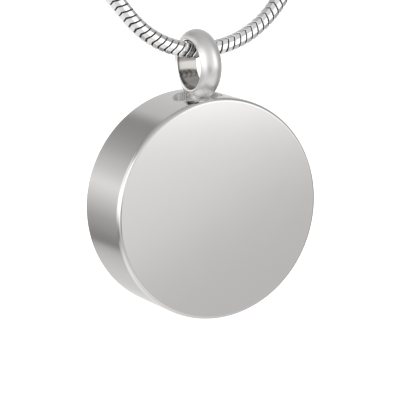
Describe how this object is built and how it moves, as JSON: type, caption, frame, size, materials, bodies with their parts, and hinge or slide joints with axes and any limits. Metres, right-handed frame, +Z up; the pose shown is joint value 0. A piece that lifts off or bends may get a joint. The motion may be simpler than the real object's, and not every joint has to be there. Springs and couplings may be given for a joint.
{
  "type": "keepsake urn pendant necklace",
  "caption": "Round hollow steel urn pendant closed by a screw with a bail ring, hanging on a closed loop of snake chain with a barrel clasp.",
  "frame": {"origin": "on the underside of the clasp, where the loop bears on the nape of the neck or on a peg", "axes": "+Z up, away from the pendant; the drum's front face looks along -Y and the chain lies in the XZ plane"},
  "size_m": [0.152, 0.0066, 0.2065],
  "materials": {
    "drum": "mirror polished stainless steel",
    "bail_screw": "polished stainless steel",
    "snake_chain": "polished stainless steel links",
    "clasp": "polished stainless steel"
  },
  "bodies": {
    "necklace": {"snake_chain": "snake_chain", "clasp": "clasp"},
    "bail": {"bail_screw": "bail_screw"},
    "urn": {"drum": "drum"}
  },
  "joints": [
    {"name": "bail_swing", "type": "hinge", "parent": "necklace", "child": "bail", "pos_m": [-0.00075, 0, -0.17948], "axis": [1, 0, 0], "range_deg": [-80, 80]},
    {"name": "urn_unscrew", "type": "slide", "parent": "bail", "child": "urn", "axis": [0, 0, -1], "range_m": [0, 0.0036]}
  ]
}
